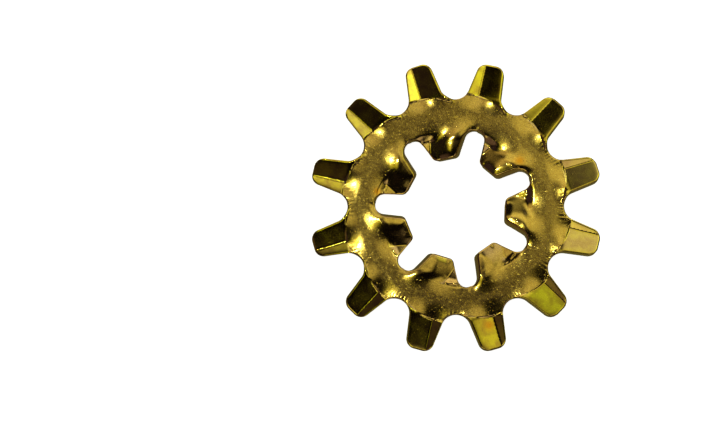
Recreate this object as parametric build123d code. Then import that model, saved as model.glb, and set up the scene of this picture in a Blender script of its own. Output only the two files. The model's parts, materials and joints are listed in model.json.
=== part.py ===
from build123d import *
import math
import os

# Internal-external tooth lock washer, stamped from spring sheet and formed in one stroke.
# Millimetres, +Z up. The origin is on the axis of the hole, level with the lowest tooth edge,
# which is what the washer stands on.

# Blank
outside_diameter = 19.0        # across the outer tooth tips
bore_diameter = 6.4            # circle that the inner tooth tips leave free
sheet_thickness = 0.9
ring_outer_radius = 6.95       # floor of the outer gullets
ring_inner_radius = 5.18       # floor of the inner gullets

outer_tooth_count = 12
outer_first_angle = 15.0       # degrees anticlockwise from +X, seen from above
outer_gullet_radius = 0.94     # full-round floor
outer_tooth_taper = 7.8        # each flank leans this much towards the tip
outer_tip_corner = 0.65

inner_tooth_count = 7
inner_first_angle = 48.1
inner_gullet_radius = 0.6
inner_tooth_taper = 28.6
inner_tip_corner = 0.42
tip_corner_share = 0.9         # most of half a tip's width that a corner may take

# Forming: each tooth's clockwise edge is raised and its anticlockwise edge pressed down.
# The punch leaves a valley along the tooth, and past it the edge lifts again as a facet.
outer_face_tilt = 17.0         # degrees, main face
outer_facet_tilt = 24.0        # degrees, the facet past the valley
outer_pivot = 0.35             # line that keeps its height, clockwise of the tooth's centre
outer_valley = 0.47            # valley, anticlockwise of the tooth's centre
outer_droop = 6.0              # degrees that the tooth hangs below the ring
outer_face_edge = 1.3          # half-width of the formed strip where it leaves the flat ring

inner_face_tilt = 17.0
inner_facet_tilt = 20.0
inner_pivot = 0.3
inner_valley = 0.66
inner_droop = 3.0
inner_face_edge = 1.5

# The ring is held flat between these radii while the teeth are formed.
flat_outer_radius = 6.5
flat_inner_radius = 5.9
outer_step_radius = 7.35       # edge of the outer clamping ring, seen as a step in each tooth
inner_step_radius = 4.95
inner_bend_lead = 0.45         # the inner teeth start to bend this far outside their step
inner_bend_length = 0.65       # the inner teeth bend gently over this length past their step
step_width = 0.06              # the step's slope, along the tooth
step_share = 0.45              # part of the valley's depth that the bend reaches before the step

tip_margin = 0.4               # formed strip runs past the blank by this much
blank_margin = 2.0             # trimming block stands this far above and below the sheet


def valley_depth(tilt, pivot, valley):
    """Depth of the valley line below the flat sheet."""
    return math.tan(math.radians(tilt)) * (pivot + valley)


outer_drop = (valley_depth(outer_face_tilt, outer_pivot, outer_valley)
              + math.tan(math.radians(outer_droop)) * (outside_diameter / 2 - outer_step_radius))
inner_drop = (valley_depth(inner_face_tilt, inner_pivot, inner_valley)
              + math.tan(math.radians(inner_droop)) * (inner_step_radius - bore_diameter / 2))
ring_bottom = max(outer_drop, inner_drop)
ring_top = ring_bottom + sheet_thickness


def gullet(floor_radius, round_radius, outwards, flare, reach):
    """Full-round gullet on +X: a round floor and two flanks that flare away from it."""
    centre = floor_radius + outwards * round_radius
    lean = math.radians(flare)
    touch = (centre - outwards * round_radius * math.sin(lean), round_radius * math.cos(lean))
    mouth = (touch[0] + outwards * reach, touch[1] + reach * math.tan(lean))
    floor = (centre - outwards * round_radius, 0)
    with BuildSketch() as sketch:
        with BuildLine():
            ThreePointArc(touch, floor, (touch[0], -touch[1]))
            Polyline((touch[0], -touch[1]), (mouth[0], -mouth[1]), mouth, touch)
        make_face()
    return sketch.sketch


def round_tip(sketch, tip, corner):
    """Round both corners of the tooth's tip, and keep something of the tip between them."""
    ends = sketch.vertices().filter_by_position(Axis.X, tip - 0.01, tip + 0.01)
    half_width = max(end.Y for end in ends)
    fillet(ends, min(corner, tip_corner_share * half_width))


def outer_tooth_blank():
    """One pitch of the blank outside the flat ring, with its tooth on +X."""
    half_pitch = 180 / outer_tooth_count
    tip = outside_diameter / 2
    corner = tip * math.tan(math.radians(half_pitch))
    notch = gullet(ring_outer_radius, outer_gullet_radius, 1, half_pitch + outer_tooth_taper, tip)
    with BuildSketch() as sketch:
        with BuildLine():
            Polyline((0, 0), (tip, -corner), (tip, corner), (0, 0))
        make_face()
        add(notch.rotate(Axis.Z, half_pitch), mode=Mode.SUBTRACT)
        add(notch.rotate(Axis.Z, -half_pitch), mode=Mode.SUBTRACT)
        round_tip(sketch, tip, outer_tip_corner)
        Circle(flat_outer_radius, mode=Mode.SUBTRACT)
    return sketch.sketch


def inner_tooth_blank():
    """One pitch of the blank inside the flat ring, with its tooth on +X."""
    half_pitch = 180 / inner_tooth_count
    tip = bore_diameter / 2
    reach = ring_outer_radius
    side = reach * math.tan(math.radians(half_pitch))
    notch = gullet(ring_inner_radius, inner_gullet_radius, -1, inner_tooth_taper - half_pitch, reach)
    with BuildSketch() as sketch:
        Circle(flat_inner_radius)
        with BuildLine():
            Polyline((0, 0), (reach, -side), (reach, side), (0, 0))
        make_face(mode=Mode.INTERSECT)
        add(notch.rotate(Axis.Z, half_pitch), mode=Mode.SUBTRACT)
        add(notch.rotate(Axis.Z, -half_pitch), mode=Mode.SUBTRACT)
        with Locations((tip / 2, 0)):
            Rectangle(tip, 2 * side, mode=Mode.SUBTRACT)
        round_tip(sketch, tip, inner_tip_corner)
    return sketch.sketch


def height_profile(edge, flat, span, tilt, facet, pivot, valley, bend, press, drop):
    """Height of the formed sheet over the flat sheet, across one tooth.

    bend scales the raised side, press scales the pressed side and drop lowers both.
    """
    rise = math.tan(math.radians(tilt)) * (edge - pivot) * bend - drop
    sink = -valley_depth(tilt, pivot, valley) * press - drop
    lip = sink + math.tan(math.radians(facet)) * (edge - valley) * press
    return [(-span, 0), (-flat, 0), (-edge, rise), (valley, sink), (edge, lip), (flat, 0), (span, 0)]


def flat_face(*corners):
    return Face(Wire.make_polygon(corners, close=True))


def formed_strip(stations):
    """Sheet of even thickness through a row of height profiles, all in flat facets."""
    faces = []
    for base in (ring_top, ring_bottom):
        rows = [[(u, v, base + z) for v, z in profile] for u, profile in stations]
        for near, far in zip(rows, rows[1:]):
            for k in range(len(near) - 1):
                faces.append(flat_face(near[k], near[k + 1], far[k + 1]))
                faces.append(flat_face(near[k], far[k + 1], far[k]))
    for u, profile in (stations[0], stations[-1]):
        top = [(u, v, ring_top + z) for v, z in profile]
        bottom = [(u, v, ring_bottom + z) for v, z in reversed(profile)]
        faces.append(flat_face(*top, *bottom))
    for side in (0, -1):
        top = [(u, profile[side][0], ring_top + profile[side][1]) for u, profile in stations]
        bottom = [(u, v, z - sheet_thickness) for u, v, z in reversed(top)]
        faces.append(flat_face(*top, *bottom))
    return Solid(Shell(faces)).clean()


def outer_formed_sheet():
    """Sheet strip that runs out from the flat ring along an outer tooth on +X."""
    half_pitch = math.radians(180 / outer_tooth_count)
    flat = flat_outer_radius * math.sin(half_pitch) - 0.05
    span = ring_outer_radius * math.sin(half_pitch) + tip_margin
    slope = math.tan(math.radians(outer_droop))

    def station(u, bend, press):
        drop = slope * max(0, u - outer_step_radius)
        return u, height_profile(outer_face_edge, flat, span, outer_face_tilt, outer_facet_tilt,
                                 outer_pivot, outer_valley, bend, press, drop)

    return formed_strip([
        station(flat_outer_radius * math.cos(half_pitch) - tip_margin, 0, 0),
        station(flat_outer_radius, 0, 0),
        station(outer_step_radius - step_width, 1, step_share),
        station(outer_step_radius, 1, 1),
        station(outside_diameter / 2 + tip_margin, 1, 1),
    ])


def inner_formed_sheet():
    """Sheet strip that runs in from the flat ring along an inner tooth on +X."""
    half_pitch = math.radians(180 / inner_tooth_count)
    flat = ring_inner_radius * math.sin(half_pitch) - 0.05
    span = flat_inner_radius * math.sin(half_pitch) + tip_margin
    slope = math.tan(math.radians(inner_droop))

    def station(u, bend, press):
        drop = slope * max(0, inner_step_radius - u)
        return u, height_profile(inner_face_edge, flat, span, inner_face_tilt, inner_facet_tilt,
                                 inner_pivot, inner_valley, bend, press, drop)

    return formed_strip([
        station(flat_inner_radius + tip_margin, 0, 0),
        station(inner_step_radius + inner_bend_lead, 0, 0),
        station(inner_step_radius + step_width, 0.36, step_share),
        station(inner_step_radius, 0.4, 1),
        station(inner_step_radius - inner_bend_length, 0.9, 1),
        station(bore_diameter / 2 - tip_margin, 1, 1),
    ])


def formed_tooth(blank, sheet, angle):
    """Trim the formed strip to one pitch of the blank and turn it to its place."""
    trim = extrude(blank, ring_top + 2 * blank_margin)
    return (sheet & trim.moved(Location((0, 0, -blank_margin)))).rotate(Axis.Z, angle)


def lock_washer():
    """The flat ring with every formed tooth fused to it."""
    ring = extrude(Circle(flat_outer_radius) - Circle(flat_inner_radius), sheet_thickness)
    ring = ring.moved(Location((0, 0, ring_bottom)))
    outer_tooth = formed_tooth(outer_tooth_blank(), outer_formed_sheet(), outer_first_angle)
    inner_tooth = formed_tooth(inner_tooth_blank(), inner_formed_sheet(), inner_first_angle)
    teeth = [outer_tooth.rotate(Axis.Z, 360 / outer_tooth_count * k) for k in range(outer_tooth_count)]
    teeth += [inner_tooth.rotate(Axis.Z, 360 / inner_tooth_count * k) for k in range(inner_tooth_count)]
    return ring.fuse(*teeth)


os.makedirs("parts", exist_ok=True)
export_step(lock_washer(), "parts/lock_washer.step")
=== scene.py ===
import bpy
import json
import math
import numpy as np
from mathutils import Matrix, Vector, geometry, kdtree
from types import SimpleNamespace


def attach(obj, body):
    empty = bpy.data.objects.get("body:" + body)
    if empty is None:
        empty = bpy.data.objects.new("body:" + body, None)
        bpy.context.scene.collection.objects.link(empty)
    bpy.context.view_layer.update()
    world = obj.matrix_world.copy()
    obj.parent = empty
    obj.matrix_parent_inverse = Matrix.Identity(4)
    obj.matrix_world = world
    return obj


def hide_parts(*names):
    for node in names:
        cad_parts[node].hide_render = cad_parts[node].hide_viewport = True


# Yellow chromated lock washer with teeth outside and inside. One formed mesh takes the place of the
# CAD solid. It has the CAD's blank and twisted teeth, and adds rounded sheared edges, the soft waves
# of the ring beside each tooth, the small differences from tooth to tooth and the marks of the press.
# Lengths are in mm until the mesh is made.

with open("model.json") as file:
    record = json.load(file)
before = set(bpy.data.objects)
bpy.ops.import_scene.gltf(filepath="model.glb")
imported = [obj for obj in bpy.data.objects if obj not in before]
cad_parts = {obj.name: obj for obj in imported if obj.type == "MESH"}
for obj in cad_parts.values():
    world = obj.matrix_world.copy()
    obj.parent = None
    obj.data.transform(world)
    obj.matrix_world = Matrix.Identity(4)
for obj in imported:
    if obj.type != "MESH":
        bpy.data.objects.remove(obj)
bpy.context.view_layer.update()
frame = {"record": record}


# ---------------------------------------------------------------- sizes of the blank, as in the CAD
def mount_height(name):
    mount = next(m for m in frame["record"]["mounts"] if m["name"] == name)
    return mount["pos_m"][2] * 1000


RING_LOW = mount_height("bottom_face")
THICKNESS = mount_height("top_face") - RING_LOW

OUTER = SimpleNamespace(
    count=12,
    first=15.0,                  # azimuth of the first tooth, in degrees
    tip=9.5,                     # radius of the tips
    floor=6.95,                  # radius of the gullets' floor
    gullet=0.94,                 # radius of the round at that floor
    taper=7.8,                   # each flank leans this much towards the tip, in degrees
    corner=0.65,                 # rounding of the tips' corners
    outwards=1,                  # the teeth point away from the axis; -1 is towards it
    offset=(0, 0))
INNER = SimpleNamespace(
    count=7,
    first=48.1,
    tip=3.2,
    floor=5.18,
    gullet=0.6,
    taper=28.6,
    corner=0.42,
    outwards=-1,
    offset=(-0.03, -0.08))       # not in the CAD: the inner punch struck this far off the axis
MIDDLE = (OUTER.floor + INNER.floor) / 2    # radius between the two rows of teeth

# ---------------------------------------------------------------- sizes of the forming
OUTER_FACE_TILT = 17             # degrees, main face of an outer tooth
OUTER_FACET_TILT = 24            # degrees, the facet past its crease
OUTER_PIVOT = 0.35               # the face keeps its height this far clockwise of the tooth's centre
OUTER_DROOP = 6                  # degrees that an outer tooth hangs
DROOP_START = 7.17               # the droop begins at this distance along the tooth
DROOP_LENGTH = 0.26              # and reaches its full slope this much further out
OUTER_SWELL_START = 6.23         # distance from the axis where the wave beside a tooth begins
INNER_SWELL_START = 5.8

# Rise of each inner facet across its tooth, anticlockwise from the first tooth
INNER_FACET_RISE = (0.46, 0.46, 0.26, 0.24, 0.41, 0.13, 0.14)
INNER_ROLL_TILT = 2              # degrees, the pressed side before the facet is folded up
INNER_BOW_START = -0.76          # across the tooth, where its face starts to steepen
INNER_BOW_WIDTH = 0.63
INNER_STEP_BOW = 0.7             # the inner step's circle meets its root this far across the tooth
INNER_DROOP_START = 4.5          # an inner tooth hangs more and more, nearer the axis than this

STEP_WIDTH = 0.05                # slope of the step at a tooth's root
SWELL_LENGTH = 1.5               # the wave beside a tooth stops growing this far past its start
OUTER_LEAN = 0.07                # the teeth's cut walls lean by this much over the sheet's thickness
INNER_LEAN = 0.25
EDGE_TOP = 0.11                  # rounding of the sheared outline, upper edge
EDGE_LOW = 0.05                  # and lower edge
SPACING = 0.05                   # of the points along outline, creases and steps


def tan(degrees):
    return math.tan(math.radians(degrees))


def smooth(start, end, value):
    """Smooth step from 0 at start to 1 at end."""
    t = np.clip((value - start) / (end - start), 0, 1)
    return t * t * (3 - 2 * t)


def direction(azimuth, elevation):
    a, e = math.radians(azimuth), math.radians(elevation)
    return Vector((math.cos(e) * math.cos(a), math.cos(e) * math.sin(a), math.sin(e)))


# ---------------------------------------------------------------- outline of the blank
def arc(x, y, radius, start, end):
    count = max(4, int(abs(end - start) * radius / SPACING))
    return [(x + radius * math.cos(t), y + radius * math.sin(t)) for t in np.linspace(start, end, count)]


def run(p, q):
    """Points of the straight line from p to q."""
    count = max(2, int(math.dist(p, q) / SPACING))
    return [(p[0] + (q[0] - p[0]) * t, p[1] + (q[1] - p[1]) * t) for t in np.linspace(0, 1, count)]


def turn(points, angle):
    c, s = math.cos(angle), math.sin(angle)
    return [(x * c - y * s, x * s + y * c) for x, y in points]


def round_corner(a, b, c, radius):
    """Points of the arc that rounds the corner b of a-b-c."""
    a, b, c = (np.array(point, float) for point in (a, b, c))
    to_a = (a - b) / np.linalg.norm(a - b)
    to_c = (c - b) / np.linalg.norm(c - b)
    half = math.acos(float(to_a @ to_c)) / 2
    centre = b + (to_a + to_c) / np.linalg.norm(to_a + to_c) * radius / math.sin(half)
    p = b + to_a * radius / math.tan(half)
    q = b + to_c * radius / math.tan(half)
    start = math.atan2(*(p - centre)[::-1])
    end = math.atan2(*(q - centre)[::-1])
    sweep = (end - start + math.pi) % (2 * math.pi) - math.pi
    return arc(centre[0], centre[1], radius, start, start + sweep)


def contour(teeth):
    """Closed outline of one row of teeth, tooth by tooth, anticlockwise."""
    half = math.pi / teeth.count
    lean = math.radians(teeth.taper) + teeth.outwards * half
    centre = teeth.floor + teeth.outwards * teeth.gullet
    side = (centre - teeth.outwards * teeth.gullet * math.sin(lean), -teeth.gullet * math.cos(lean))
    touch = turn([side], half)[0]
    flank = turn([(teeth.outwards * math.cos(lean), -math.sin(lean))], half)[0]
    reach = (teeth.tip - touch[0]) / flank[0]
    shoulder = (teeth.tip, touch[1] + reach * flank[1])
    upper = round_corner((teeth.tip, 0), shoulder, touch, teeth.corner)
    lower = [(x, -y) for x, y in upper][::-1]
    middle = math.pi if teeth.outwards > 0 else 0.0
    sweep = (math.atan2(side[1], side[0] - centre) - middle + math.pi) % (2 * math.pi) - math.pi
    floor = turn(arc(centre, 0, teeth.gullet, middle + sweep, middle - sweep), half)
    tooth = run((touch[0], -touch[1]), lower[0])[:-1] + lower[:-1] + run(lower[-1], upper[0])[:-1]
    tooth += upper[:-1] + run(upper[-1], touch)[:-1] + floor[:-1]
    points = []
    for number in range(teeth.count):
        points += turn(tooth, math.radians(teeth.first) + 2 * math.pi * number / teeth.count)
    return np.array(points) + teeth.offset


# ---------------------------------------------------------------- how the sheet is formed
# Along a tooth is measured from the axis, and across it from the tooth's centre line, anticlockwise.
def tooth_frame(x, y, teeth):
    """Distance along and across the nearest tooth, and that tooth's azimuth."""
    past_first = np.degrees(np.arctan2(y, x)) - teeth.first
    turned = np.round(past_first * teeth.count / 360) * 360 / teeth.count
    off = np.radians(past_first - turned)
    r = np.hypot(x, y)
    return r * np.cos(off), r * np.sin(off), np.radians(teeth.first + turned)


def soft_max(a, b, softness=0.01):
    return 0.5 * (a + b + np.sqrt((a - b) ** 2 + softness ** 2))


def swell(past, across, height, length, power, crest, trough, reach):
    """Soft wave beside a tooth, which grows with the distance past its start.

    It is highest at the crest, lowest at the trough and flat again at reach on both sides.
    """
    growth = (np.clip(past, 0, SWELL_LENGTH) / length) ** power
    left = 1 - smooth(crest, -reach, across)
    middle = np.cos(np.pi * (across - crest) / (trough - crest))
    right = smooth(trough, reach, across) - 1
    wave = np.where(across < crest, left, np.where(across < trough, middle, right))
    return height * growth * np.where(np.abs(across) < reach, wave, 0)


def outer_crease(along, azimuth):
    """How far across the tooth its crease runs: furthest on the teeth at the right."""
    splay = 0.03 * (along - 8.0)
    return 0.42 + 0.12 * np.cos(azimuth + math.radians(15)) + splay


def outer_root(across, azimuth):
    """How far along the tooth the flat of its face begins: a bow, nearer the ring at the top."""
    top_of_bow = 0.5
    bow = 0.16 * (top_of_bow - across) ** 2 * np.where(across < top_of_bow, 1, 0.7)
    return 7.36 - bow + 0.02 * np.cos(azimuth) - 0.07 * np.sin(azimuth)


def outer_relief(x, y):
    along, across, azimuth = tooth_frame(x, y, OUTER)
    crease = outer_crease(along, azimuth)
    face = -tan(OUTER_FACE_TILT) * (across + OUTER_PIVOT)
    facet = -tan(OUTER_FACE_TILT) * (crease + OUTER_PIVOT) + tan(OUTER_FACET_TILT) * (across - crease)
    wave = swell(along - OUTER_SWELL_START, across, height=0.145, length=1.1, power=1.4,
                 crest=-0.95, trough=0.62, reach=1.8)
    upper_left = smooth(0.4, 0.95, np.cos(azimuth - math.radians(140)))
    wave = wave * (1 - 0.45 * upper_left * smooth(0.2, 0.9, -across))
    in_gullet = smooth(1.15, 1.7, np.abs(across)) * (1 - smooth(7.3, 7.8, along))
    step = np.clip((along - outer_root(across, azimuth)) / STEP_WIDTH + 1, 0, 1) * (1 - in_gullet)
    past = np.clip(along - DROOP_START, 0, None)
    sag = np.where(past < DROOP_LENGTH, past ** 2 / (2 * DROOP_LENGTH), past - DROOP_LENGTH / 2)
    return (1 - step) * wave + step * soft_max(face, facet) - tan(OUTER_DROOP) * sag


def inner_root(azimuth):
    """How far along the tooth its crease ends."""
    return 4.7 + 0.2 * np.cos(azimuth - math.radians(250))


def inner_crease(along, azimuth):
    """How far across the tooth its crease runs, on a line from its root to near its tip."""
    at_root = 0.74 + 0.16 * np.cos(azimuth - math.radians(70))
    at_tip, tip = 0.98, 3.85
    return at_tip + (at_root - at_tip) * (along - tip) / (inner_root(azimuth) - tip)


def inner_face(across):
    """Height across the tooth: gentle at its clockwise side and steeper past the middle."""
    past = (across - INNER_BOW_START) / INNER_BOW_WIDTH
    share = np.clip(past, 0, 1)
    bow = share ** 3 - share ** 4 / 2 + np.clip(past - 1, 0, None)
    gentle = 0.131 * (across + 0.363)
    steeper = 0.137 * INNER_BOW_WIDTH * (bow - 0.152)
    return -gentle - steeper


def inner_facet_rise(azimuth):
    """Rise of the tooth's facet across the tooth."""
    number = np.round((np.degrees(azimuth) - INNER.first) * INNER.count / 360).astype(int)
    return np.take(INNER_FACET_RISE, number % INNER.count)


def inner_step(azimuth):
    """Radius of the step at the tooth's root."""
    return np.hypot(inner_root(azimuth), INNER_STEP_BOW)


def inner_relief(x, y):
    along, across, azimuth = tooth_frame(x, y, INNER)
    crease = inner_crease(along, azimuth)
    valley = inner_face(crease)
    rolled = soft_max(inner_face(across), valley + tan(INNER_ROLL_TILT) * (across - crease), 0.06)
    folded = soft_max(inner_face(across), valley + inner_facet_rise(azimuth) * (across - crease))
    wave = swell(INNER_SWELL_START - along, across, height=0.147, length=1.23, power=1.45,
                 crest=-1.25, trough=0.6, reach=2.25)
    in_gullet = smooth(1.2, 1.9, np.abs(across)) * smooth(4.3, 4.9, along)
    bend_end = 4.2 + 0.2 * smooth(0.3, 0.9, across)
    bent = (1 - smooth(bend_end, 5.0, along)) * (1 - in_gullet)
    step = np.clip((inner_step(azimuth) - np.hypot(x, y)) / STEP_WIDTH, 0, 1)
    lift = (folded - rolled) * step * (1 - in_gullet)
    droop = 0.05 * np.clip(INNER_DROOP_START - along, 0, None) ** 2
    return (1 - bent) * wave + bent * rolled + lift - droop


def punched(x, y):
    """The same place seen from the inner punch's own axis, near the hole."""
    near = 1 - smooth(5.2, 6.2, np.hypot(x, y))
    return x - INNER.offset[0] * near, y - INNER.offset[1] * near


def relief(x, y):
    """Height of the formed sheet over the flat sheet."""
    return np.where(np.hypot(x, y) > MIDDLE, outer_relief(x, y), inner_relief(*punched(x, y)))


def chatter(x, y, rim):
    """Uneven tick marks, about 0.2 mm apart, that the shear left across the rim of the outer gullets."""
    azimuth = np.arctan2(y, x)
    r = np.hypot(x, y)
    round_ring = azimuth * OUTER.floor
    uneven = 1.5 * np.sin(3.7 * round_ring)
    depth = 0.6 + 0.4 * np.sin(7.3 * round_ring + 1)
    ticks = np.sin(30 * round_ring + uneven) * depth
    at_floor = np.exp(-(rim / 0.3) ** 2) * (1 - smooth(7.05, 7.4, r)) * smooth(6.3, 6.6, r)
    return (0.016 + 0.008 * np.cos(2 * azimuth)) * ticks * at_floor


def formed(xy, z, rim):
    """Points of the flat blank moved to where the press puts them.

    z runs from 0 to THICKNESS, and rim is the distance in from the outline.
    """
    x, y = xy[:, 0], xy[:, 1]
    inside = np.hypot(x, y) < MIDDLE
    up = z / THICKNESS
    out_along, out_across, out_azimuth = tooth_frame(x, y, OUTER)
    in_along, in_across, in_azimuth = tooth_frame(*punched(x, y), INNER)
    azimuth = np.where(inside, in_azimuth, out_azimuth)
    lean_in = INNER_LEAN * (1 - smooth(4.3, 5.1, in_along)) * (up - smooth(-1.2, 1.2, in_across))
    lean_out = OUTER_LEAN * smooth(6.9, 7.4, out_along) * (up - smooth(-1.1, 1.1, out_across))
    lean = np.where(inside, lean_in, lean_out)
    # The shear rolled the upper rim down, most of all on the raised sides of the inner teeth.
    raised = (1 - smooth(4.6, 5.3, in_along)) * (1 - smooth(0.3, 0.6, in_across))
    roll_in = (0.043 * raised + 0.012) * np.exp(-(rim / 0.3) ** 2)
    roll_out = 0.006 * np.exp(-(rim / 0.15) ** 2)
    height = relief(x, y) + up ** 2 * (chatter(x, y, rim) - np.where(inside, roll_in, roll_out))
    return np.stack([x - lean * np.sin(azimuth), y + lean * np.cos(azimuth), RING_LOW + z + height], -1)


# ---------------------------------------------------------------- how the skin varies over the blank, and the ring's painted sheen
# Places where the chromate is thicker and orange: x, y and radius
STAINS = {
    "facet_285": (2.08, -7.62, 0.33),
    "root_48": (4.13, 2.91, 0.3),
    "root_151": (-5.05, 0.98, 0.22),
    "rim_202": (-6.3, -2.4, 0.2),
}


def outer_face_share(x, y):
    """1 on the formed faces of the outer teeth and 0 on the ring beside them."""
    along, across, azimuth = tooth_frame(x, y, OUTER)
    return smooth(-0.05, 0.02, along - outer_root(across, azimuth))


def burnished(x, y):
    """Where the tool has flattened the skin: 1 on the outer teeth's faces, less at the right."""
    at_right = smooth(0.4, 1, np.cos(tooth_frame(x, y, OUTER)[2] - 0.1))
    return (1 - 0.5 * at_right) * outer_face_share(x, y) * (np.hypot(x, y) > MIDDLE)


def polished(x, y):
    """How smooth the skin is: 1 on the outer teeth's faces, 0.9 on the inner teeth, 0 on the ring."""
    inner_teeth = 0.9 * (1 - smooth(4.5, 5.3, tooth_frame(*punched(x, y), INNER)[0]))
    return np.where(np.hypot(x, y) > MIDDLE, outer_face_share(x, y), inner_teeth)


def stained(x, y):
    """How orange the film is."""
    total = np.zeros(len(x))
    for centre_x, centre_y, radius in STAINS.values():
        total += np.exp(-((x - centre_x) ** 2 + (y - centre_y) ** 2) / radius ** 2)
    return np.clip(total, 0, 1)


def painted_ring_sheen(x, y):
    """Painted light and shade on the ring: brightest at its right and left, darkest at the bottom."""
    azimuth = np.arctan2(y, x)
    return 0.5 + 0.3 * np.cos(2 * azimuth) + 0.1 * np.sin(azimuth) + 0.16 * np.cos(azimuth)


# ---------------------------------------------------------------- the mesh
TOP_STEP = 0.07                  # spacing of the points on the top face
BOTTOM_STEP = 0.15
ROW_GAP = 0.5                    # of a spacing, from the rows of points along the bends to the outline
GRID_GAP = 0.7                   # of a spacing, from the other points to the outline
GRID_ROW_GAP = 0.55              # and to the rows
TOP_ROWS = (0.2, 0.13)           # rows of points on the top face, this far in from the outline
WALL_ROWS = (0.55, 0.28)         # rows on the cut wall, at these heights
OUTER_STEP_SPAN = (-1.0, 1.25)   # rows follow the step this far across an outer tooth
INNER_STEP_SPAN = (0.35, 1.7)    # and across an inner tooth
OUTER_CREASE_ROW = 0.015         # and run this far to each side of an outer crease
INNER_CREASE_ROW = 0.02


def normals(loop, outwards):
    """Directions from the points of a loop into the sheet."""
    along = np.roll(loop, -1, 0) - np.roll(loop, 1, 0)
    along /= np.linalg.norm(along, axis=1)[:, None]
    return np.stack([-along[:, 1], along[:, 0]], -1) * outwards


def distance(points, lines):
    """Distance from each point to the nearest point of the lines."""
    targets = np.concatenate(lines)
    tree = kdtree.KDTree(len(targets))
    for k, target in enumerate(targets):
        tree.insert((target[0], target[1], 0), k)
    tree.balance()
    return np.array([tree.find((point[0], point[1], 0))[2] for point in points])


def inside_loop(points, loop):
    inside = np.zeros(len(points), bool)
    order = np.argsort(points[:, 1])
    heights = points[order, 1]
    for (x0, y0), (x1, y1) in zip(loop, np.roll(loop, -1, 0)):
        if y0 == y1:
            continue
        first, last = np.searchsorted(heights, (min(y0, y1), max(y0, y1)))
        level = order[first:last]
        crossing = x0 + (points[level, 1] - y0) * (x1 - x0) / (y1 - y0)
        inside[level[points[level, 0] < crossing]] ^= True
    return inside


def in_sheet(points, loops):
    return inside_loop(points, loops[0]) & ~inside_loop(points, loops[1])


def outer_lines(azimuth):
    """Both edges of the step and of the rounded crease, on an outer tooth turned to +X."""
    across = np.arange(*OUTER_STEP_SPAN, SPACING)
    lines = [(outer_root(across, azimuth) - shift, across) for shift in (0, STEP_WIDTH)]
    crease_at_root = 0.45
    along = np.arange(outer_root(crease_at_root, azimuth) + SPACING, OUTER.tip, SPACING)
    for shift in (-OUTER_CREASE_ROW, OUTER_CREASE_ROW):
        lines.append((along, outer_crease(along, azimuth) + shift))
    return lines


def inner_lines(azimuth):
    """The same on an inner tooth."""
    across = np.arange(*INNER_STEP_SPAN, SPACING)
    step = inner_step(azimuth)
    lines = [(np.sqrt((step - shift) ** 2 - across ** 2), across) for shift in (0, STEP_WIDTH)]
    along = np.arange(INNER.tip, inner_root(azimuth) - SPACING, SPACING)
    for shift in (-INNER_CREASE_ROW, INNER_CREASE_ROW):
        lines.append((along, inner_crease(along, azimuth) + shift))
    return lines


def bend_lines():
    """Lines along the creases and the steps, which the mesh follows."""
    turned = []
    for teeth, tooth_lines in ((OUTER, outer_lines), (INNER, inner_lines)):
        for number in range(teeth.count):
            azimuth = math.radians(teeth.first + 360 / teeth.count * number)
            for along, across in tooth_lines(azimuth):
                turned.append(np.array(turn(zip(along, across), azimuth)) + teeth.offset)
    return turned


def triangular_grid(step):
    """Even grid of points that covers more than the washer."""
    count = int(2 * OUTER.tip / step) + 2
    column, row = np.meshgrid(np.arange(-count, count), np.arange(-count, count))
    x = (column + 0.5 * (row % 2)) * step
    y = row * step * math.sqrt(3) / 2
    return np.stack([x.ravel(), y.ravel()], -1)


def fill(loops, step, lines):
    """Triangles over the sheet between the two loops, with rows of points along the lines."""
    rows = []
    for line in lines:
        line = line[in_sheet(line, loops)]
        rows.append(line[distance(line, loops) > step * ROW_GAP])
    grid = triangular_grid(step)
    grid = grid[in_sheet(grid, loops)]
    grid = grid[distance(grid, loops) > step * GRID_GAP]
    if rows:
        grid = grid[distance(grid, rows) > step * GRID_ROW_GAP]
    points = np.concatenate([*loops, grid, *rows])
    edges = []
    for first, loop in ((0, loops[0]), (len(loops[0]), loops[1])):
        edges += [(first + k, first + (k + 1) % len(loop)) for k in range(len(loop))]
    result = geometry.delaunay_2d_cdt([Vector(point) for point in points], edges, [], 0, 1e-6)
    source = np.array([sources[0] for sources in result[3]])
    triangles = source[np.array(result[2])]
    triangles = triangles[in_sheet(points[triangles].mean(1), loops)]
    a, b, c = (points[triangles[:, k]] for k in range(3))
    twice_area = (b[:, 0] - a[:, 0]) * (c[:, 1] - a[:, 1]) - (b[:, 1] - a[:, 1]) * (c[:, 0] - a[:, 0])
    backwards = twice_area < 0
    triangles[backwards] = triangles[backwards][:, ::-1]
    return points, triangles


def rounded(radius, degrees):
    """Distance in from the outline and from the face, this far round an edge."""
    t = math.radians(degrees)
    return radius * (1 - math.sin(t)), radius * (1 - math.cos(t))


def edge_rows():
    """Rows from the top face over the cut edge to the bottom face: distance in, height."""
    rows = [(rim, THICKNESS) for rim in TOP_ROWS]
    for degrees in (0, 30, 60, 90):
        rim, drop = rounded(EDGE_TOP, degrees)
        rows.append((rim, THICKNESS - drop))
    rows += [(0.0, z) for z in WALL_ROWS]
    return rows + [rounded(EDGE_LOW, degrees) for degrees in (90, 45, 0)]


def edge_faces(row_count, outer_count, inner_count):
    """Quads between neighbouring rows, round both loops."""
    faces = []
    for row in range(row_count - 1):
        a = row * (outer_count + inner_count)
        b = a + outer_count + inner_count
        for k in range(outer_count):
            after = (k + 1) % outer_count
            faces.append((a + k, b + k, b + after, a + after))
        a += outer_count
        b += outer_count
        for k in range(inner_count):
            after = (k + 1) % inner_count
            faces.append((a + after, b + after, b + k, a + k))
    return faces


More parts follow.
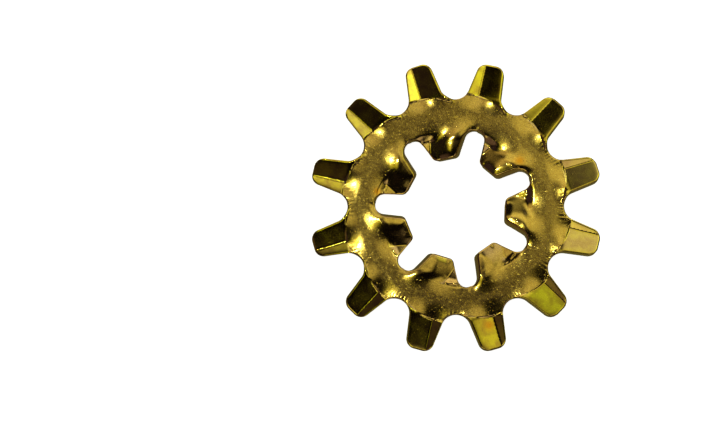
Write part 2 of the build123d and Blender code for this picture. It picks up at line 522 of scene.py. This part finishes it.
def washer_shape():
    """Points of the formed washer, the same points in the flat blank, and its faces."""
    loops = contour(OUTER), contour(INNER)
    inwards = normals(loops[0], OUTER.outwards), normals(loops[1], INNER.outwards)

    def inset(rim):
        return [loop + inward * rim for loop, inward in zip(loops, inwards)]

    rows = edge_rows()
    points, flat = [], []
    for rim, z in rows:
        xy = np.concatenate(inset(rim))
        points.append(formed(xy, z, rim))
        flat.append(xy)
    in_row = len(flat[0])
    total = in_row * len(rows)
    faces = edge_faces(len(rows), len(loops[0]), len(loops[1]))
    top = (rows[0], 0, TOP_STEP, bend_lines(), 1)
    bottom = (rows[-1], total - in_row, BOTTOM_STEP, [], -1)
    for (rim, z), first, step, lines, facing in (top, bottom):
        xy, triangles = fill(inset(rim), step, lines)
        xy = xy[in_row:]
        points.append(formed(xy, z, distance(xy, loops)))
        flat.append(xy)
        index = np.concatenate([first + np.arange(in_row), total + np.arange(len(xy))])
        total += len(xy)
        faces += index[triangles][:, ::facing].tolist()
    return np.concatenate(points), np.concatenate(flat), faces


def build_washer():
    points, flat, faces = washer_shape()
    mesh = bpy.data.meshes.new("lock_washer_formed")
    mesh.from_pydata((points / 1000.0).tolist(), [], faces)
    mesh.validate()
    mesh.polygons.foreach_set("use_smooth", [True] * len(mesh.polygons))
    mesh.update()
    # Attributes for the material: the ring's sheen among them is painted light and shade; the others
    # belong to the skin.
    skin_and_painted_sheen = {"burnish": burnished, "polish": polished, "stain": stained, "painted_sheen": painted_ring_sheen}
    for name, spread in skin_and_painted_sheen.items():
        values = spread(flat[:, 0], flat[:, 1])
        mesh.attributes.new(name, "FLOAT", "POINT").data.foreach_set("value", values)
    washer = bpy.data.objects.new("lock_washer_formed", mesh)
    bpy.context.scene.collection.objects.link(washer)
    return washer


washer = build_washer()
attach(washer, "root")
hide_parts("lock_washer")


# ---------------------------------------------------------------- materials
def add_node(tree, kind, inputs, output, **settings):
    """Add a node, link or set its inputs, and give one of its outputs."""
    node = tree.nodes.new(kind)
    for name, value in settings.items():
        setattr(node, name, value)
    for name, value in inputs.items():
        if isinstance(value, bpy.types.NodeSocket):
            tree.links.new(value, node.inputs[name])
        else:
            node.inputs[name].default_value = value
    return node.outputs[output]


def add_ramp(tree, value, low, high):
    """Colour ramp between two stops, each of them a position and a colour."""
    node = tree.nodes.new("ShaderNodeValToRGB")
    tree.links.new(value, node.inputs["Fac"])
    for stop, (position, colour) in zip(node.color_ramp.elements, (low, high)):
        stop.position = position
        stop.color = (*colour, 1)
    return node.outputs["Color"]


def grey(value):
    return (value, value, value)


def chromate():
    """Yellow chromate on zinc: khaki and satin on the ring, bright and smooth on the teeth.

    The scales of the noises are per metre.
    """
    material = bpy.data.materials.new("yellow_chromate")
    material.use_nodes = True
    tree = material.node_tree
    shader = tree.nodes["Principled BSDF"].inputs
    shader["Metallic"].default_value = 1.0
    shader["Coat Weight"].default_value = 0.7
    shader["Coat Roughness"].default_value = 0.08
    place = add_node(tree, "ShaderNodeTexCoord", {}, "Object")

    def attribute(name):
        return add_node(tree, "ShaderNodeAttribute", {}, "Fac", attribute_name=name)

    def noise(scale, detail, roughness):
        inputs = {"Vector": place, "Scale": scale, "Detail": detail, "Roughness": roughness}
        return add_node(tree, "ShaderNodeTexNoise", inputs, "Fac")

    def mix(share, one, other):
        inputs = {"Factor": share, "A": one, "B": other}
        return add_node(tree, "ShaderNodeMix", inputs, "Result", data_type="RGBA")

    def bump(height, distance, strength, **below):
        inputs = {"Height": height, "Distance": distance, "Strength": strength, **below}
        return add_node(tree, "ShaderNodeBump", inputs, "Normal")

    grain = noise(20000, 1, 0.5)
    mottle = noise(4500, 3, 0.6)
    broad = noise(1500, 3, 0.5)
    glint = add_ramp(tree, noise(9000, 1, 0.5), (0.66, grey(0)), (0.78, grey(1)))
    soft_mottle = add_node(tree, "ShaderNodeMath", {0: mottle, 1: 0.4}, "Value", operation="MULTIPLY")
    speck_inputs = {0: grain, 1: 0.6, 2: soft_mottle}
    speck = add_node(tree, "ShaderNodeMath", speck_inputs, "Value", operation="MULTIPLY_ADD")

    # Two copies of the ring's grainy colour, a darker one for painted shade and a lighter one for painted
    # light, mixed by the ring's painted sheen.
    ring_in_painted_shade = add_ramp(tree, speck, (0.38, (0.42, 0.25, 0.055)), (0.62, (0.75, 0.48, 0.12)))
    ring_in_painted_light = add_ramp(tree, speck, (0.38, (0.76, 0.47, 0.09)), (0.62, (1.0, 0.68, 0.17)))
    ring_grain_and_painted_sheen = mix(attribute("painted_sheen"), ring_in_painted_shade, ring_in_painted_light)
    bright = add_ramp(tree, broad, (0.38, (0.66, 0.44, 0.05)), (0.62, (1.0, 0.79, 0.045)))
    film = mix(attribute("burnish"), ring_grain_and_painted_sheen, bright)
    orange = (0.95, 0.42, 0.012, 1)
    tree.links.new(mix(attribute("stain"), film, orange), shader["Base Color"])

    polish = attribute("polish")
    satin = add_ramp(tree, mottle, (0.3, grey(0.14)), (0.7, grey(0.20)))
    smooth_skin = add_ramp(tree, broad, (0.3, grey(0.09)), (0.7, grey(0.12)))
    tree.links.new(mix(polish, satin, smooth_skin), shader["Roughness"])

    grain_depth, sparkle_depth = 0.000003, 0.000009     # metres
    rough_to_smooth = {"Value": polish, "To Min": 1.0, "To Max": 0.1}
    strength = add_node(tree, "ShaderNodeMapRange", rough_to_smooth, "Result")
    coarse = bump(mottle, grain_depth, strength)
    fine = bump(grain, grain_depth, strength, Normal=coarse)
    sparkle = bump(glint, sparkle_depth, strength, Normal=fine)
    tree.links.new(sparkle, shader["Normal"])
    return material


def glowing_white(name, base, glow):
    """Matt white that keeps its tone in the dark room."""
    material = bpy.data.materials.new(name)
    material.use_nodes = True
    shader = material.node_tree.nodes["Principled BSDF"].inputs
    shader["Base Color"].default_value = (*grey(base), 1)
    shader["Roughness"].default_value = 1.0
    shader["Specular IOR Level"].default_value = 0.0
    shader["Emission Color"].default_value = (1, 1, 1, 1)
    shader["Emission Strength"].default_value = glow
    return material


washer.data.materials.append(chromate())

# ---------------------------------------------------------------- floor
FLOOR_Z = -0.00002               # metres: the mesh's lowest rounded edges hang just below the CAD's

bpy.ops.mesh.primitive_plane_add(size=2.0, location=(0, 0, FLOOR_Z))
floor = bpy.context.object
floor.name = "floor"
floor.data.materials.append(glowing_white("floor_white", base=0.9, glow=0.97))
floor.visible_glossy = False

# ---------------------------------------------------------------- camera
IMAGE_WIDTH, IMAGE_HEIGHT = 728, 425    # pixels
TIPS_WIDTH = 296                        # pixels across the outer tips
PIXEL = 2 * OUTER.tip / TIPS_WIDTH / 1000   # metres on the washer for one pixel
AXIS_X, AXIS_Y = 455.6, 206.3           # pixel in which the washer's axis is seen
CAMERA_TILT = 5                         # degrees from straight down
CAMERA_AZIMUTH = -65                    # side to which it tilts
LENS, SENSOR = 85, 36                   # focal length and sensor width, in mm


def camera_axes():
    """Right, up and backward direction of the camera."""
    back = direction(CAMERA_AZIMUTH, 90 - CAMERA_TILT)
    right = Vector((0, 1, 0)).cross(back).normalized()
    return right, back.cross(right), back


def place_camera():
    lens = bpy.data.cameras.new("camera")
    lens.lens = LENS
    lens.sensor_width = SENSOR
    camera = bpy.data.objects.new("camera", lens)
    bpy.context.scene.collection.objects.link(camera)
    bpy.context.scene.camera = camera
    right, up, back = camera_axes()
    aim = right * (IMAGE_WIDTH / 2 - AXIS_X) * PIXEL + up * (AXIS_Y - IMAGE_HEIGHT / 2) * PIXEL
    aim += Vector((0, 0, RING_LOW + THICKNESS)) / 1000
    camera.location = aim + back * (IMAGE_WIDTH * PIXEL * LENS / SENSOR)
    camera.rotation_mode = "QUATERNION"
    camera.rotation_quaternion = Matrix((right, up, back)).transposed().to_quaternion()
    return camera


camera = place_camera()
bpy.context.scene.view_settings.view_transform = "Standard"

# ---------------------------------------------------------------- light
LAMP_AZIMUTH, LAMP_LEAN = 187, 8.5      # degrees: skin that leans so shows the lamp to the camera
LAMP_SPREAD = 0.8                       # degrees of lean to each side that still show it
LAMP_RADIANCE = 135
LAMP_COLOUR = (0.86, 0.96, 0.62)
LAMP_DISTANCE = 0.5                     # metres

# Softboxes: azimuth, elevation and radius in degrees, seen from the washer, then colour
SOFTBOXES = [
    ("window", 55, 30, 20, (0.73, 0.74, 0.75)),
    ("window_glass", 31, 35, 10, (0.85, 1.05, 0.25)),
    ("window_sill", 105, 10, 25, (1.00, 0.97, 0.75)),
    ("door", 0, 40, 10, (0.80, 0.80, 0.35)),
    ("shelf", 310, 40, 10, (0.60, 0.56, 0.60)),
    ("kicker", 267, 39, 9, (1.10, 1.10, 0.80)),
    ("ceiling", 41, 66, 13, (0.62, 0.62, 0.27)),
    ("ceiling_left", 96, 62, 7, (0.71, 0.72, 0.36)),
    ("zenith", 115, 86, 6, (0.062, 0.056, 0.046)),
    ("wall", 235, 34, 18, (0.12, 0.09, 0.12)),
    ("far_wall", 177, 20, 33, (0.032, 0.022, 0.050)),
    ("glow", 188, 72, 4, (0.60, 0.66, 0.06)),
    ("ceiling_back", 135, 64, 6, (0.45, 0.40, 0.20)),
]
SOFT_RIM = 8                            # degrees to each side over which a softbox fades out
ROOM = (0.002, 0.0015, 0.003)
BENCH = (0.105, 0.095, 0.034)           # what shines back from under the horizon
BENCH_FADE = (0.07, 0.03)               # sine of the elevation where it starts and is full


def hang_lamp():
    """Small round lamp that shows in skin of one lean, all over the washer."""
    normal = direction(LAMP_AZIMUTH, 90 - LAMP_LEAN)
    eye = camera.location.normalized()
    towards = (2 * normal.dot(eye) * normal - eye).normalized()
    width = 2 * LAMP_DISTANCE * tan(2 * LAMP_SPREAD)
    light = bpy.data.lights.new("lamp", "AREA")
    light.shape = "DISK"
    light.size = width
    light.energy = LAMP_RADIANCE * math.pi * math.pi * width * width / 4
    light.color = LAMP_COLOUR
    lamp = bpy.data.objects.new("lamp", light)
    lamp.location = towards * LAMP_DISTANCE
    lamp.rotation_mode = "QUATERNION"
    lamp.rotation_quaternion = towards.to_track_quat("Z", "Y")
    lamp.visible_camera = False
    bpy.context.scene.collection.objects.link(lamp)


def studio():
    """Dark room with a few soft lights, all of them far away."""
    world = bpy.data.worlds.new("studio")
    bpy.context.scene.world = world
    world.use_nodes = True
    tree = world.node_tree
    ray = add_node(tree, "ShaderNodeTexCoord", {}, "Generated")

    def fade(value, start, end):
        inputs = {"Value": value, "From Min": start, "From Max": end}
        return add_node(tree, "ShaderNodeMapRange", inputs, "Result", interpolation_type="SMOOTHSTEP")

    def add_light(total, share, colour):
        inputs = {0: colour, "Scale": share}
        light = add_node(tree, "ShaderNodeVectorMath", inputs, "Vector", operation="SCALE")
        return add_node(tree, "ShaderNodeVectorMath", {0: light, 1: total}, "Vector", operation="ADD")

    total = ROOM
    for name, azimuth, elevation, radius, colour in SOFTBOXES:
        inputs = {0: ray, 1: direction(azimuth, elevation)}
        near = add_node(tree, "ShaderNodeVectorMath", inputs, "Value", operation="DOT_PRODUCT", label=name)
        outer_edge = math.cos(math.radians(radius + SOFT_RIM))
        inner_edge = math.cos(math.radians(max(radius - SOFT_RIM, 0)))
        total = add_light(total, fade(near, outer_edge, inner_edge), colour)
    height = add_node(tree, "ShaderNodeSeparateXYZ", {0: ray}, "Z")
    total = add_light(total, fade(height, *BENCH_FADE), BENCH)
    tree.links.new(total, tree.nodes["Background"].inputs["Color"])


hang_lamp()
studio()

# ---------------------------------------------------------------- backdrop
bpy.ops.mesh.primitive_uv_sphere_add(segments=48, ring_count=24, radius=3.0)
backdrop = bpy.context.object
backdrop.name = "backdrop"
backdrop.data.materials.append(glowing_white("backdrop_white", base=0, glow=1.0))
for kind in ("diffuse", "glossy", "transmission", "volume_scatter", "shadow"):
    setattr(backdrop, "visible_" + kind, False)
